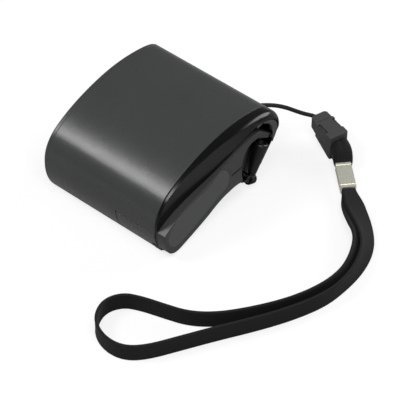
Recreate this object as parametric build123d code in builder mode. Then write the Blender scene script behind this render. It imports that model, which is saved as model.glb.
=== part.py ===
"""Hand crank phone charger: a wedge-shaped case with a folding crank on its side, a generator and
gear train inside, a charging socket behind a flap, and a wrist strap on a string and buckle.

Lengths are in millimetres. X runs along the case towards the crank side, Y from the tail to the
nose, Z is up. The origin is at the middle of the case's footprint, and the case stands on two feet.
"""
from build123d import *
import os
from math import atan2, cos, pi, radians, sin, tan

os.makedirs("parts", exist_ok=True)

# ---------------------------------------------------------------- sizes
body_length = 60.6  # tail to nose
body_height = 32.3
shell_width = 50.0  # from the far end to the crank-side rim
wall = 1.8
fit_gap = 0.1  # around covers and plates that drop into the shell
slide_gap = 0.05  # radial, around shafts and pins that turn
end_cap_thickness = 1.6
end_cap_lip = 2.5
cap_chamfer = 0.5
side_cover_thickness = 2.0

crank_gap = 0.3  # between the shell's rim and the turning crank
rim_height = 4.9  # the crank's highest face above the shell's rim
band_low = 1.0  # height of the crank's outer band at the tail
arm_face = 4.4  # the arm plate's face above the shell's rim
crank_floor = 0.7  # thickness of the crank under the arm plate
edge_round = 2.7
arm_gap = 0.08  # around trim seated in the crank
inlay_depth = 0.9
tail_round = 5.5  # the crank's lower corner at the tail

knob_axis_height = 3.1  # knob centre line above the shell's rim
knob_length = 14.2
knob_top_radius = 2.8
knob_end_radius = 1.5
knob_lean = 24.8  # the folded knob leans back from upright by this angle
knob_room = 0.6  # around the folded knob
collar_radius = 2.0
collar_length = 2.6
knob_post_radius = 0.6
knob_pin_radius = 0.5

axle_radius = 2.0
gear_module = 0.5
gear_face = 2.5
layer_gap = 0.3
drive_teeth = 30
small_teeth = 10
first_wheel_teeth = 24
second_wheel_teeth = 28
gear_pin_radius = 0.75
pressure_angle = 25.0
backlash = 0.1
plate_thickness = 1.2
post_radius = 1.5

generator_radius = 9.0
generator_depth = 15.0
can_wall = 0.6
rotor_radius = 4.6
air_gap = 0.4
shaft_radius = 0.75

cover_width = 17.0  # the socket flap, along X
cover_top = 10.1
cover_thickness = 1.6
nail_gap = 0.5
hinge_pin_radius = 0.5
hinge_barrel_radius = 1.0
socket_width = 13.1
socket_height = 5.7
socket_depth = 10.4
socket_skin = 0.3
board_thickness = 1.2
board_width = 10.4
board_length = 41.0

screw_radius = 0.8
screw_head_radius = 1.5
screw_head_height = 1.0
boss_radius = 1.9

string_diameter = 1.3
strap_width = 7.0
strap_thickness = 1.2
buckle_length = 13.0
buckle_width = 7.4
buckle_height = 10.0
buckle_nose_height = 4.0  # at the string's end; the underside slopes
webbing_width = 8.0
crimp_length = 12.0
crimp_width = 5.4
crimp_thickness = 3.2

# ---------------------------------------------------------------- places along X
knob_outer = knob_axis_height + knob_top_radius
far_x = -(shell_width + knob_outer) / 2
edge_x = far_x + shell_width
cover_inner_x = edge_x - side_cover_thickness
flange = 0.5
layer_one_top = cover_inner_x - flange - 0.15
layer_one = layer_one_top - gear_face
layer_two = layer_one - layer_gap - gear_face
layer_three = layer_two - layer_gap - gear_face
plate_outer_x = layer_three - 0.5
plate_inner_x = plate_outer_x - plate_thickness
generator_back_x = plate_inner_x - generator_depth
crank_base_x = edge_x + crank_gap
crank_floor_x = crank_base_x + crank_floor
arm_face_x = edge_x + arm_face
rim_x = edge_x + rim_height
knob_x = edge_x + knob_axis_height

half = body_length / 2
stand_on = (Align.CENTER, Align.CENTER, Align.MIN)


def spot(along, up):
    """A point of the side view, as shares of the half length and of the height."""
    return (along * half, up * body_height)


# ---------------------------------------------------------------- places in the side view (Y, Z)
axle_at = Vector(-8.0, 16.6)
pitch_drive = gear_module * drive_teeth / 2
pitch_small = gear_module * small_teeth / 2
pitch_first = gear_module * first_wheel_teeth / 2
pitch_second = gear_module * second_wheel_teeth / 2


def step(start, distance, angle):
    """The point at a distance and an angle, in degrees, from another point of the side view."""
    return Vector(start.X + distance * cos(radians(angle)), start.Y + distance * sin(radians(angle)))


first_angle = 41.0
second_angle = -28.0
rotor_angle = 0.6
idler_one_at = step(axle_at, pitch_drive + pitch_small, first_angle)
idler_two_at = step(idler_one_at, pitch_first + pitch_small, second_angle)
rotor_at = step(idler_two_at, pitch_second + pitch_small, rotor_angle)

knob_foot = Vector(15.5, 4.2)
knob_turn = radians(knob_lean)
knob_way = Vector(0, sin(knob_turn), cos(knob_turn))  # from the hinge to the knob's wide end
hinge_way = Vector(0, cos(knob_turn), -sin(knob_turn))

cover_pin_at = Vector(-26.2, 2.2)
board_top = cover_top + 0.8
board_back = -27.6  # the board's edge nearest to the tail
board_front = board_back + board_width
socket_front = -26.6
cover_x1 = edge_x - crank_gap
cover_x0 = cover_x1 - cover_width
socket_x = (cover_x0 + cover_x1) / 2
board_x1 = cover_inner_x - 0.3
board_x0 = board_x1 - board_length
board_bottom = board_top - board_thickness
board_screw_spots = [(board_x0 + 13.95, board_front - 3.6), (board_x0 + 21.25, board_front - 3.6)]

# each screw boss, with the angle of the rib that ties it to the wall
case_screw_spots = [(Vector(-22.5, 20.5), 127), (Vector(20.5, 26.3), 75), (Vector(7.5, 11.5), -90)]
cap_screw_spots = [(Vector(-22.5, 20.5), 127), (Vector(20.5, 26.3), 75), (Vector(16.4, 6.6), -35)]
boss_length = 5.5
boss_rib = 4.5
cap_seat_x = far_x + end_cap_thickness + end_cap_lip
post_spots = [Vector(-19.0, 17.5), Vector(-14.5, 24.6), Vector(15.0, 25.8)]
peg_spot = Vector(12.3, 10.3)


# ---------------------------------------------------------------- small builders
def rod(at, radius, x_start, x_end, mode=Mode.ADD):
    """A round bar along X at a point of the side view."""
    with Locations((x_start, at.X, at.Y)):
        Cylinder(
            radius,
            x_end - x_start,
            rotation=(0, 90, 0),
            align=stand_on,
            mode=mode,
        )


def box_between(low, high, mode=Mode.ADD):
    """A block from its low corner to its high corner."""
    with Locations(low):
        Box(
            high[0] - low[0],
            high[1] - low[1],
            high[2] - low[2],
            align=(Align.MIN, Align.MIN, Align.MIN),
            mode=mode,
        )


def boss(at, way, x_start, x_end):
    """A screw boss along X, with its hole and the rib that ties it to the wall."""
    rod(at, boss_radius, x_start, x_end)
    with Locations(Location((x_start, at.X, at.Y), (way, 0, 0))):
        Box(x_end - x_start, boss_rib, 1.2, align=(Align.MIN, Align.MIN, Align.CENTER))
    rod(at, screw_radius, x_start, x_end, mode=Mode.SUBTRACT)


def side_plane(x):
    """A plane across the case, with Y to the right and Z up."""
    return Plane.YZ.offset(x)


def gear_points(teeth, phase):
    """The outline of an involute gear with short teeth. phase turns the first tooth, in degrees."""
    pitch = gear_module * teeth / 2
    base = pitch * cos(radians(pressure_angle))
    tip = pitch + 0.8 * gear_module
    root = pitch - 1.1 * gear_module
    half_tooth = (pi * gear_module / 2 - backlash) / 2 / pitch

    def involute(radius):
        roll = max((radius / base) ** 2 - 1, 0) ** 0.5
        return roll - atan2(roll, 1)

    start = involute(pitch)
    low = max(base, root)
    flank = [low + (tip - low) * k / 3 for k in range(4)]
    points = []
    for tooth in range(teeth):
        middle = 2 * pi * tooth / teeth + radians(phase)
        side = [(r, half_tooth + start - involute(r)) for r in flank]
        if root < base:
            side.insert(0, (root, side[0][1]))
        points += [(r * cos(middle - a), r * sin(middle - a)) for r, a in side]
        points += [(r * cos(middle + a), r * sin(middle + a)) for r, a in reversed(side)]
    return points


def gear_body(at, teeth, phase, x_start, x_end):
    """A spur gear along X at a point of the side view."""
    with BuildSketch(side_plane(x_start)) as gear_outline:
        with BuildLine():
            Polyline(*[(at.X + y, at.Y + z) for y, z in gear_points(teeth, phase)], close=True)
        make_face()
    extrude(gear_outline.sketch, amount=x_end - x_start)


def mesh_phase(teeth, phase, angle, other_teeth):
    """The phase that puts the other gear's teeth into this one's gaps, at an angle from it."""
    share = ((angle - phase) * teeth / 360) % 1
    return angle + 180 - (0.5 - share) * 360 / other_teeth


first_phase = mesh_phase(drive_teeth, 0, first_angle, small_teeth)
second_phase = mesh_phase(first_wheel_teeth, 0, second_angle, small_teeth)
rotor_phase = mesh_phase(second_wheel_teeth, 0, rotor_angle, small_teeth)


# ---------------------------------------------------------------- outlines
tail_foot = spot(-0.878, 0)
tail_foot_end = spot(-0.76, 0)
nose_foot = spot(0.587, 0)
nose_foot_end = spot(0.515, 0)

with BuildSketch() as outer_outline:
    with BuildLine():
        Spline(
            tail_foot,
            spot(-0.963, 0.158),
            spot(-1, 0.384),
            spot(-0.96, 0.576),
            spot(-0.861, 0.706),
            spot(-0.69, 0.811),
            spot(-0.25, 0.95),
            spot(0.2, 1),
            spot(0.64, 0.957),
            spot(0.91, 0.845),
            spot(1, 0.66),
            spot(0.888, 0.421),
            nose_foot,
        )
        Line(nose_foot, nose_foot_end)
        Spline(
            nose_foot_end,
            spot(0.343, 0.207),
            spot(0.089, 0.257),
            spot(-0.261, 0.167),
            tail_foot_end,
        )
        Line(tail_foot_end, tail_foot)
    make_face()


def redrawn(outline):
    """The outline with its curves drawn again as splines."""
    with BuildSketch() as copy:
        with BuildLine():
            for edge in outline.face().outer_wire().edges():
                if edge.geom_type == GeomType.LINE:
                    Line(edge @ 0, edge @ 1)
                else:
                    Spline(*[edge @ (k / 30) for k in range(31)])
        make_face()
    return copy.sketch_local


def moved_outline(outline, distance):
    """The outline moved outwards by a distance."""
    return redrawn(offset(outline, amount=distance))


inner_outline = moved_outline(outer_outline.sketch_local, -wall)
cover_outline = moved_outline(outer_outline.sketch_local, -wall - fit_gap)
lip_hole = moved_outline(outer_outline.sketch_local, -wall - fit_gap - 1.2)
cover_hole = moved_outline(outer_outline.sketch_local, -cover_thickness)
plate_area = moved_outline(outer_outline.sketch_local, -wall - 0.7)

# ---------------------------------------------------------------- main shell
anchor_x = edge_x - 5.85
anchor_half = 2.5
anchor_at = Vector(28.3, 21.6)
anchor_pin_radius = 0.7
hinge_ear_x = cover_x1 - 2.2
ear_radius = 1.7

with BuildPart() as main_shell:
    with BuildSketch(side_plane(far_x + end_cap_thickness)):
        add(outer_outline.sketch_local)
        add(inner_outline, mode=Mode.SUBTRACT)
    extrude(amount=shell_width - end_cap_thickness)
    for at, way in case_screw_spots:
        boss(at, way, cover_inner_x - boss_length, cover_inner_x)
    for at, way in cap_screw_spots:
        boss(at, way, cap_seat_x, cap_seat_x + boss_length)
    # board posts
    for x, y in board_screw_spots:
        with Locations((x, y, 1.2)):
            Cylinder(boss_radius, board_bottom - 1.2, align=stand_on)
        with Locations((x, y, board_bottom - 4)):
            Cylinder(screw_radius, 4, align=stand_on, mode=Mode.SUBTRACT)
    # walled recess in the nose for the string's anchor pin
    box_between(
        (anchor_x - anchor_half - 1.2, anchor_at.X - 3.9, anchor_at.Y - 4.4),
        (anchor_x + anchor_half + 1.2, anchor_at.X + 3, anchor_at.Y + 4.4),
    )
    box_between(
        (anchor_x - anchor_half, anchor_at.X - 2.7, anchor_at.Y - 3.2),
        (anchor_x + anchor_half, anchor_at.X + 4, anchor_at.Y + 3.2),
        mode=Mode.SUBTRACT,
    )
    rod(
        anchor_at,
        anchor_pin_radius,
        anchor_x - anchor_half - 1.2,
        anchor_x + anchor_half + 1.2,
        mode=Mode.SUBTRACT,
    )
    # keep everything inside the outer outline
    with BuildSketch(side_plane(far_x + end_cap_thickness)):
        add(outer_outline.sketch_local)
    extrude(amount=shell_width - end_cap_thickness, mode=Mode.INTERSECT)
    # opening for the socket flap, and its hinge
    box_between(
        (cover_x0 - 0.3, -half - 1, cover_pin_at.Y + 2.1),
        (edge_x + 1, -half + 4.4, cover_top + nail_gap),
        mode=Mode.SUBTRACT,
    )
    box_between(
        (cover_x0 - 0.3, -half - 1, -1),
        (hinge_ear_x, cover_pin_at.X, cover_pin_at.Y + 2.2),
        mode=Mode.SUBTRACT,
    )
    rod(cover_pin_at, 2.2, cover_x0 - 0.3, hinge_ear_x, mode=Mode.SUBTRACT)
    box_between(
        (hinge_ear_x - 0.01, -half - 1, -1),
        (edge_x + 1, cover_pin_at.X, cover_pin_at.Y + 2.2),
        mode=Mode.SUBTRACT,
    )
    rod(cover_pin_at, ear_radius, hinge_ear_x + 0.2, edge_x)
    rod(cover_pin_at, hinge_pin_radius, cover_x0 - 3.5, edge_x, mode=Mode.SUBTRACT)
main_shell.part.label = "main_shell"
export_step(main_shell.part, "parts/main_shell.step")

# ---------------------------------------------------------------- covers of the two ends
with BuildPart() as end_cap:
    with BuildSketch(side_plane(far_x)):
        add(outer_outline.sketch_local)
    extrude(amount=end_cap_thickness)
    cap_edge = end_cap.faces().sort_by(Axis.X)[0].edges().sort_by(SortBy.LENGTH)[-1]
    chamfer(cap_edge, cap_chamfer)
    with BuildSketch(side_plane(far_x + end_cap_thickness)):
        add(cover_outline)
        add(lip_hole, mode=Mode.SUBTRACT)
    extrude(amount=end_cap_lip)
    for at, way in cap_screw_spots:
        rod(at, boss_radius, far_x + end_cap_thickness, cap_seat_x)
        rod(at, screw_radius + fit_gap, far_x, cap_seat_x, mode=Mode.SUBTRACT)
        rod(at, screw_head_radius + fit_gap, far_x, far_x + screw_head_height, mode=Mode.SUBTRACT)
end_cap.part.label = "end_cap"
export_step(end_cap.part, "parts/end_cap.step")

bush_radius = axle_radius + 1.0
peg_radius = 0.8
screw_seat_x = edge_x - screw_head_height - 0.2

with BuildPart() as side_cover:
    with BuildSketch(side_plane(cover_inner_x)):
        add(cover_outline)
    extrude(amount=side_cover_thickness)
    # gearbox posts, and a peg that keeps the gear plate square
    for at in post_spots:
        rod(at, post_radius, plate_outer_x, cover_inner_x)
        rod(at, screw_radius + fit_gap, plate_outer_x, edge_x, mode=Mode.SUBTRACT)
        rod(at, screw_head_radius + fit_gap, screw_seat_x, edge_x, mode=Mode.SUBTRACT)
    rod(peg_spot, post_radius, plate_outer_x, cover_inner_x)
    rod(peg_spot, peg_radius, plate_inner_x, plate_outer_x)
    for at, way in case_screw_spots:
        rod(at, screw_radius + fit_gap, cover_inner_x, edge_x, mode=Mode.SUBTRACT)
        rod(at, screw_head_radius + fit_gap, screw_seat_x, edge_x, mode=Mode.SUBTRACT)
    rod(axle_at, bush_radius, cover_inner_x, edge_x, mode=Mode.SUBTRACT)
    rod(cover_pin_at, ear_radius + fit_gap, cover_inner_x, edge_x, mode=Mode.SUBTRACT)
    for at in (idler_one_at, idler_two_at):
        rod(at, gear_pin_radius, cover_inner_x, cover_inner_x + 1.4, mode=Mode.SUBTRACT)
side_cover.part.label = "side_cover"
export_step(side_cover.part, "parts/side_cover.step")


def screw(at, seat_x, shank_end_x, head_way, head_height=screw_head_height, radius=screw_radius):
    """A pan head screw along X with a cross recess. head_way is the side that its head faces."""
    head_end_x = seat_x + head_way * head_height
    rod(at, radius, min(seat_x, shank_end_x), max(seat_x, shank_end_x))
    rod(at, screw_head_radius, min(seat_x, head_end_x), max(seat_x, head_end_x))
    slot_low = min(head_end_x, head_end_x - head_way * 0.5)
    for across, up in ((1.8, 0.4), (0.4, 1.8)):
        box_between(
            (slot_low, at.X - across / 2, at.Y - up / 2),
            (slot_low + 0.5, at.X + across / 2, at.Y + up / 2),
            mode=Mode.SUBTRACT,
        )


with BuildPart() as case_screws:
    for at, way in case_screw_spots:
        screw(at, screw_seat_x, cover_inner_x - 5, 1)
case_screws.part.label = "case_screws"
export_step(case_screws.part, "parts/case_screws.step")

with BuildPart() as cap_screws:
    for at, way in cap_screw_spots:
        screw(at, far_x + screw_head_height, cap_seat_x + 5, -1)
cap_screws.part.label = "cap_screws"
export_step(cap_screws.part, "parts/cap_screws.step")

with BuildPart() as gearbox_screws:
    for at in post_spots:
        screw(at, screw_seat_x, plate_inner_x, 1)
gearbox_screws.part.label = "gearbox_screws"
export_step(gearbox_screws.part, "parts/gearbox_screws.step")

# ---------------------------------------------------------------- gear plate and its pins
rotor_bush_radius = shaft_radius + 1.0
generator_screw_reach = 6.4

with BuildPart() as gear_plate:
    with BuildSketch(side_plane(plate_inner_x)):
        add(plate_area)
        with Locations((socket_front + socket_depth + 0.5, 0)):
            Rectangle(30, board_top + 1.5, align=(Align.MAX, Align.MIN), mode=Mode.SUBTRACT)
        with Locations((-21.2, 0)):
            Rectangle(30, body_height, align=(Align.MAX, Align.MIN), mode=Mode.SUBTRACT)
    extrude(amount=plate_thickness)
    for at in post_spots:
        rod(at, screw_radius, plate_inner_x, plate_outer_x, mode=Mode.SUBTRACT)
    rod(peg_spot, peg_radius, plate_inner_x, plate_outer_x, mode=Mode.SUBTRACT)
    rod(axle_at, axle_radius + slide_gap, plate_inner_x, plate_outer_x, mode=Mode.SUBTRACT)
    for at in (idler_one_at, idler_two_at):
        rod(at, gear_pin_radius, plate_inner_x, plate_outer_x, mode=Mode.SUBTRACT)
    rod(rotor_at, rotor_bush_radius, plate_inner_x, plate_outer_x, mode=Mode.SUBTRACT)
    for angle in (60, 240):
        rod(
            step(rotor_at, generator_screw_reach, angle),
            screw_radius + fit_gap,
            plate_inner_x,
            plate_outer_x,
            mode=Mode.SUBTRACT,
        )
gear_plate.part.label = "gear_plate"
export_step(gear_plate.part, "parts/gear_plate.step")

with BuildPart() as gear_pins:
    for at in (idler_one_at, idler_two_at):
        rod(at, gear_pin_radius, plate_inner_x, cover_inner_x + 1.4)
gear_pins.part.label = "gear_pins"
export_step(gear_pins.part, "parts/gear_pins.step")

with BuildPart() as axle_bush:
    rod(axle_at, bush_radius, cover_inner_x, edge_x)
    rod(axle_at, bush_radius + 0.8, cover_inner_x - flange, cover_inner_x)
    rod(axle_at, axle_radius + slide_gap, cover_inner_x - flange, edge_x, mode=Mode.SUBTRACT)
axle_bush.part.label = "axle_bush"
export_step(axle_bush.part, "parts/axle_bush.step")

# ---------------------------------------------------------------- gears
with BuildPart() as drive_gear:
    gear_body(axle_at, drive_teeth, 0, layer_one, layer_one_top)
    rod(axle_at, axle_radius + 1.2, layer_one - 1.5, layer_one)
    for k in range(5):
        hole_at = step(axle_at, 5.0, 72 * k)
        rod(hole_at, 1.1, layer_one, layer_one_top, mode=Mode.SUBTRACT)
    rod(axle_at, axle_radius, layer_one - 1.5, layer_one_top, mode=Mode.SUBTRACT)
drive_gear.part.label = "drive_gear"
export_step(drive_gear.part, "parts/drive_gear.step")

with BuildPart() as idler_gear_one:
    gear_body(idler_one_at, small_teeth, first_phase, layer_one - layer_gap, layer_one_top)
    gear_body(idler_one_at, first_wheel_teeth, 0, layer_two, layer_two + gear_face)
    rod(
        idler_one_at,
        gear_pin_radius + slide_gap,
        layer_two,
        layer_one_top,
        mode=Mode.SUBTRACT,
    )
idler_gear_one.part.label = "idler_gear_one"
export_step(idler_gear_one.part, "parts/idler_gear_one.step")

with BuildPart() as idler_gear_two:
    gear_body(idler_two_at, small_teeth, second_phase, layer_two - layer_gap, layer_two + gear_face)
    gear_body(idler_two_at, second_wheel_teeth, 0, layer_three, layer_three + gear_face)
    rod(
        idler_two_at,
        gear_pin_radius + slide_gap,
        layer_three,
        layer_two + gear_face,
        mode=Mode.SUBTRACT,
    )
idler_gear_two.part.label = "idler_gear_two"
export_step(idler_gear_two.part, "parts/idler_gear_two.step")

# ---------------------------------------------------------------- generator
stator_inner = rotor_radius + air_gap
stator_outer = generator_radius - can_wall
rotor_x0 = generator_back_x + 3.0
rotor_x1 = plate_inner_x - 2.4

with BuildPart() as rotor_pinion:
    gear_body(rotor_at, small_teeth, rotor_phase, layer_three, layer_three + gear_face)
    rod(rotor_at, shaft_radius, layer_three, layer_three + gear_face, mode=Mode.SUBTRACT)
rotor_pinion.part.label = "rotor_pinion"
export_step(rotor_pinion.part, "parts/rotor_pinion.step")

with BuildPart() as rotor_shaft:
    rod(rotor_at, shaft_radius, generator_back_x - 0.6, layer_three + gear_face)
rotor_shaft.part.label = "rotor_shaft"
export_step(rotor_shaft.part, "parts/rotor_shaft.step")

with BuildPart() as rotor_magnet:
    rod(rotor_at, rotor_radius, rotor_x0, rotor_x1)
    rod(rotor_at, shaft_radius, rotor_x0, rotor_x1, mode=Mode.SUBTRACT)
rotor_magnet.part.label = "rotor_magnet"
export_step(rotor_magnet.part, "parts/rotor_magnet.step")

with BuildPart() as generator_can:
    rod(rotor_at, generator_radius, generator_back_x + 1.2, plate_inner_x)
    rod(rotor_at, stator_outer, generator_back_x + 1.2, plate_inner_x - 1.2, mode=Mode.SUBTRACT)
    rod(rotor_at, rotor_bush_radius, generator_back_x, plate_inner_x, mode=Mode.SUBTRACT)
    for angle in (60, 240):
        rod(
            step(rotor_at, generator_screw_reach, angle),
            screw_radius,
            plate_inner_x - 1.2,
            plate_inner_x,
            mode=Mode.SUBTRACT,
        )
generator_can.part.label = "generator_can"
export_step(generator_can.part, "parts/generator_can.step")

with BuildPart() as generator_back:
    rod(rotor_at, generator_radius, generator_back_x, generator_back_x + 1.2)
    rod(rotor_at, stator_outer - fit_gap, generator_back_x + 1.2, generator_back_x + 2.0)
    rod(rotor_at, stator_outer - 1.2, generator_back_x + 1.2, generator_back_x + 2.0, mode=Mode.SUBTRACT)
    rod(rotor_at, rotor_bush_radius, generator_back_x, generator_back_x + 2.0, mode=Mode.SUBTRACT)
    for angle in (200, 340):
        rod(step(rotor_at, 4.5, angle), 0.7, generator_back_x, generator_back_x + 1.2, mode=Mode.SUBTRACT)
generator_back.part.label = "generator_back"
export_step(generator_back.part, "parts/generator_back.step")

with BuildPart() as stator_core:
    for x_start in (rotor_x0, rotor_x1 - 1.0):
        rod(rotor_at, stator_outer, x_start, x_start + 1.0)
    rod(rotor_at, stator_outer, rotor_x0, rotor_x1)
    rod(rotor_at, stator_outer - 0.5, rotor_x0 + 1.0, rotor_x1 - 1.0, mode=Mode.SUBTRACT)
    rod(rotor_at, stator_inner, rotor_x0, rotor_x1, mode=Mode.SUBTRACT)
stator_core.part.label = "stator_core"
export_step(stator_core.part, "parts/stator_core.step")

with BuildPart() as stator_coil:
    rod(rotor_at, stator_outer - 0.5, rotor_x0 + 1.0, rotor_x1 - 1.0)
    rod(rotor_at, stator_inner, rotor_x0 + 1.0, rotor_x1 - 1.0, mode=Mode.SUBTRACT)
stator_coil.part.label = "stator_coil"
export_step(stator_coil.part, "parts/stator_coil.step")

with BuildPart() as rotor_bushes:
    for x_start, x_end in (
        (generator_back_x, generator_back_x + 2.0),
        (plate_inner_x - 1.2, plate_outer_x),
    ):
        rod(rotor_at, rotor_bush_radius, x_start, x_end)
        rod(rotor_at, shaft_radius + slide_gap, x_start, x_end, mode=Mode.SUBTRACT)
rotor_bushes.part.label = "rotor_bushes"
export_step(rotor_bushes.part, "parts/rotor_bushes.step")

with BuildPart() as generator_screws:
    for angle in (60, 240):
        at = step(rotor_at, generator_screw_reach, angle)
        screw(at, plate_outer_x, plate_inner_x - 1.2, 1, head_height=0.4)
generator_screws.part.label = "generator_screws"
export_step(generator_screws.part, "parts/generator_screws.step")

# ---------------------------------------------------------------- circuit board and socket
with BuildPart() as circuit_board:
    box_between((board_x0, board_back, board_bottom), (board_x1, board_front, board_top))
    for x, y in board_screw_spots:
        with Locations((x, y, board_top)):
            Hole(screw_radius + fit_gap, depth=board_thickness)
circuit_board.part.label = "circuit_board"
export_step(circuit_board.part, "parts/circuit_board.step")

with BuildPart() as board_screws:
    for x, y in board_screw_spots:
        with Locations((x, y, board_top - 4)):
            Cylinder(screw_radius, 4, align=stand_on)
        with Locations((x, y, board_top)):
            Cylinder(screw_head_radius, screw_head_height, align=stand_on)
        with Locations((x, y, board_top + screw_head_height)):
            Box(1.8, 0.4, 1.0, mode=Mode.SUBTRACT)
            Box(0.4, 1.8, 1.0, mode=Mode.SUBTRACT)
board_screws.part.label = "board_screws"
export_step(board_screws.part, "parts/board_screws.step")

socket_x0 = socket_x - socket_width / 2
socket_x1 = socket_x + socket_width / 2
socket_bottom = board_bottom - socket_height
socket_back = socket_front + socket_depth

with BuildPart() as socket_shell:
    box_between((socket_x0, socket_front, socket_bottom), (socket_x1, socket_back, board_bottom))
    box_between(
        (socket_x0 + socket_skin, socket_front, socket_bottom + socket_skin),
        (socket_x1 - socket_skin, socket_back - socket_skin, board_bottom - socket_skin),
        mode=Mode.SUBTRACT,
    )
socket_shell.part.label = "socket_shell"
export_step(socket_shell.part, "parts/socket_shell.step")

tongue_half = 5.5
tongue_top = board_bottom - 1.0
tongue_bottom = tongue_top - 1.8
contact_pitch = 2.4

with BuildPart() as socket_tongue:
    box_between(
        (socket_x0 + socket_skin, socket_back - 2.0, socket_bottom + socket_skin),
        (socket_x1 - socket_skin, socket_back - socket_skin, board_bottom - socket_skin),
    )
    box_between(
        (socket_x - tongue_half, socket_front + 0.8, tongue_bottom),
        (socket_x + tongue_half, socket_back - 2.0, tongue_top),
    )
socket_tongue.part.label = "socket_tongue"
export_step(socket_tongue.part, "parts/socket_tongue.step")

with BuildPart() as socket_contacts:
    for k in range(4):
        x = socket_x + (k - 1.5) * contact_pitch
        box_between(
            (x - 0.5, socket_front + 1.4, tongue_bottom - 0.25),
            (x + 0.5, socket_back - 2.0, tongue_bottom),
        )
socket_contacts.part.label = "socket_contacts"
export_step(socket_contacts.part, "parts/socket_contacts.step")

capacitor_radius = 3.4
capacitor_length = 11.5
capacitor_at = Vector(-22.7, board_top + capacitor_radius)
with BuildPart() as capacitor:
    rod(capacitor_at, capacitor_radius, board_x0 + 0.75, board_x0 + 0.75 + capacitor_length)
    fillet(capacitor.edges().filter_by(GeomType.CIRCLE), 0.4)
capacitor.part.label = "capacitor"
export_step(capacitor.part, "parts/capacitor.step")

inductor_at = (board_x0 + 26.25, board_back + 5.2)
with BuildPart() as inductor:
    with Locations((*inductor_at, board_top)):
        Cylinder(3.0, 0.6, align=stand_on)
        Cylinder(2.2, 3.6, align=stand_on)
    with Locations((*inductor_at, board_top + 3.0)):
        Cylinder(3.0, 0.6, align=stand_on)
inductor.part.label = "inductor"
export_step(inductor.part, "parts/inductor.step")

chip_x = board_x0 + 31.25
chip_y = board_back + 3.1
chip_length = 5.0
chip_width = 4.0
leg_pitch = 1.27
with BuildPart() as regulator_chip:
    box_between((chip_x, chip_y, board_top), (chip_x + chip_length, chip_y + chip_width, board_top + 1.5))
    for y in (chip_y - 1.0, chip_y + chip_width):
        for k in range(4):
            x = chip_x + 0.6 + leg_pitch * k
            box_between((x - 0.2, y, board_top), (x + 0.2, y + 1.0, board_top + 0.5))
regulator_chip.part.label = "regulator_chip"
export_step(regulator_chip.part, "parts/regulator_chip.step")

with BuildPart() as rectifier_diodes:
    for along, y in ((18.05, -24.6), (18.05, -20.6), (18.05, -18.6), (29.25, -18.6)):
        x = board_x0 + along
        box_between((x - 1.4, y - 0.6, board_top), (x + 1.4, y + 0.6, board_top + 1.0))
rectifier_diodes.part.label = "rectifier_diodes"
export_step(rectifier_diodes.part, "parts/rectifier_diodes.step")


def turn_radii(points, share=0.45):
    """The largest round at each bend that leaves a straight piece in every run."""
    radii = []
    for before, here, after in zip(points, points[1:], points[2:]):
        run_in = here - before
        run_out = after - here
        turn = radians(run_in.get_angle(run_out))
        radii.append(share * min(run_in.length, run_out.length) / tan(turn / 2))
    return radii


lead_radius = 0.5
lead_rows = ((160, board_x0 + 8.75), (200, board_x0 + 11.25))
with BuildPart() as generator_leads:
    for angle, drop_x in lead_rows:
        terminal = step(rotor_at, 4.5, angle)
        lead_points = [
            Vector(generator_back_x, terminal.X, terminal.Y),
            Vector(drop_x, terminal.X, terminal.Y),
            Vector(drop_x, board_front - 1.2, terminal.Y),
            Vector(drop_x, board_front - 1.2, board_top),
        ]
        lead_radii = turn_radii(lead_points)
        print("lead radii", [round(radius, 2) for radius in lead_radii])
        with BuildLine() as lead_route:
            FilletPolyline(*lead_points, radius=lead_radii)
        with BuildSketch(Plane(lead_points[0], z_dir=lead_points[1] - lead_points[0])):
            Circle(lead_radius)
        sweep(path=lead_route.line)
generator_leads.part.label = "generator_leads"
export_step(generator_leads.part, "parts/generator_leads.step")

# ---------------------------------------------------------------- socket flap and its hinge
hinge_pin_start = cover_x0 - 3.5

with BuildPart() as socket_cover:
    with BuildSketch(side_plane(cover_x0)):
        add(outer_outline.sketch_local)
        add(cover_hole, mode=Mode.SUBTRACT)
        with Locations((-half - 1, 0.6)):
            Rectangle(6.0, cover_top - 0.6, align=(Align.MIN, Align.MIN), mode=Mode.INTERSECT)
    extrude(amount=cover_width)
    box_between(
        (hinge_ear_x - 0.2, -half - 1, -1),
        (edge_x + 1, cover_pin_at.X + 3, cover_pin_at.Y + 2.4),
        mode=Mode.SUBTRACT,
    )
    rod(cover_pin_at, hinge_barrel_radius, cover_x0, hinge_ear_x - 0.2)
    rod(cover_pin_at, hinge_pin_radius + slide_gap, cover_x0, hinge_ear_x - 0.2, mode=Mode.SUBTRACT)
socket_cover.part.label = "socket_cover"
export_step(socket_cover.part, "parts/socket_cover.step")

with BuildPart() as cover_hinge_pin:
    rod(cover_pin_at, hinge_pin_radius, hinge_pin_start, edge_x)
cover_hinge_pin.part.label = "cover_hinge_pin"
export_step(cover_hinge_pin.part, "parts/cover_hinge_pin.step")

# ---------------------------------------------------------------- crank
band_slope = (rim_height - band_low) / (22.0 + half)
knob_frame = Plane(origin=(knob_x, knob_foot.X, knob_foot.Y), x_dir=(1, 0, 0), z_dir=knob_way)
window_half = collar_length / 2 + 0.3
grip_start = collar_radius + 0.4


def knob_side(x):
    """A plane across the crank with its origin on the knob's hinge: right is the hinge, up the knob."""
    return Plane(origin=(x, knob_foot.X, knob_foot.Y), x_dir=hinge_way, z_dir=(1, 0, 0))


def tail_corner(piece):
    """The edge along X at the piece's lower corner at the tail."""
    edges = piece.edges().filter_by(Axis.X)
    return edges.sort_by_distance((crank_floor_x, -half, 0))[0]


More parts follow.
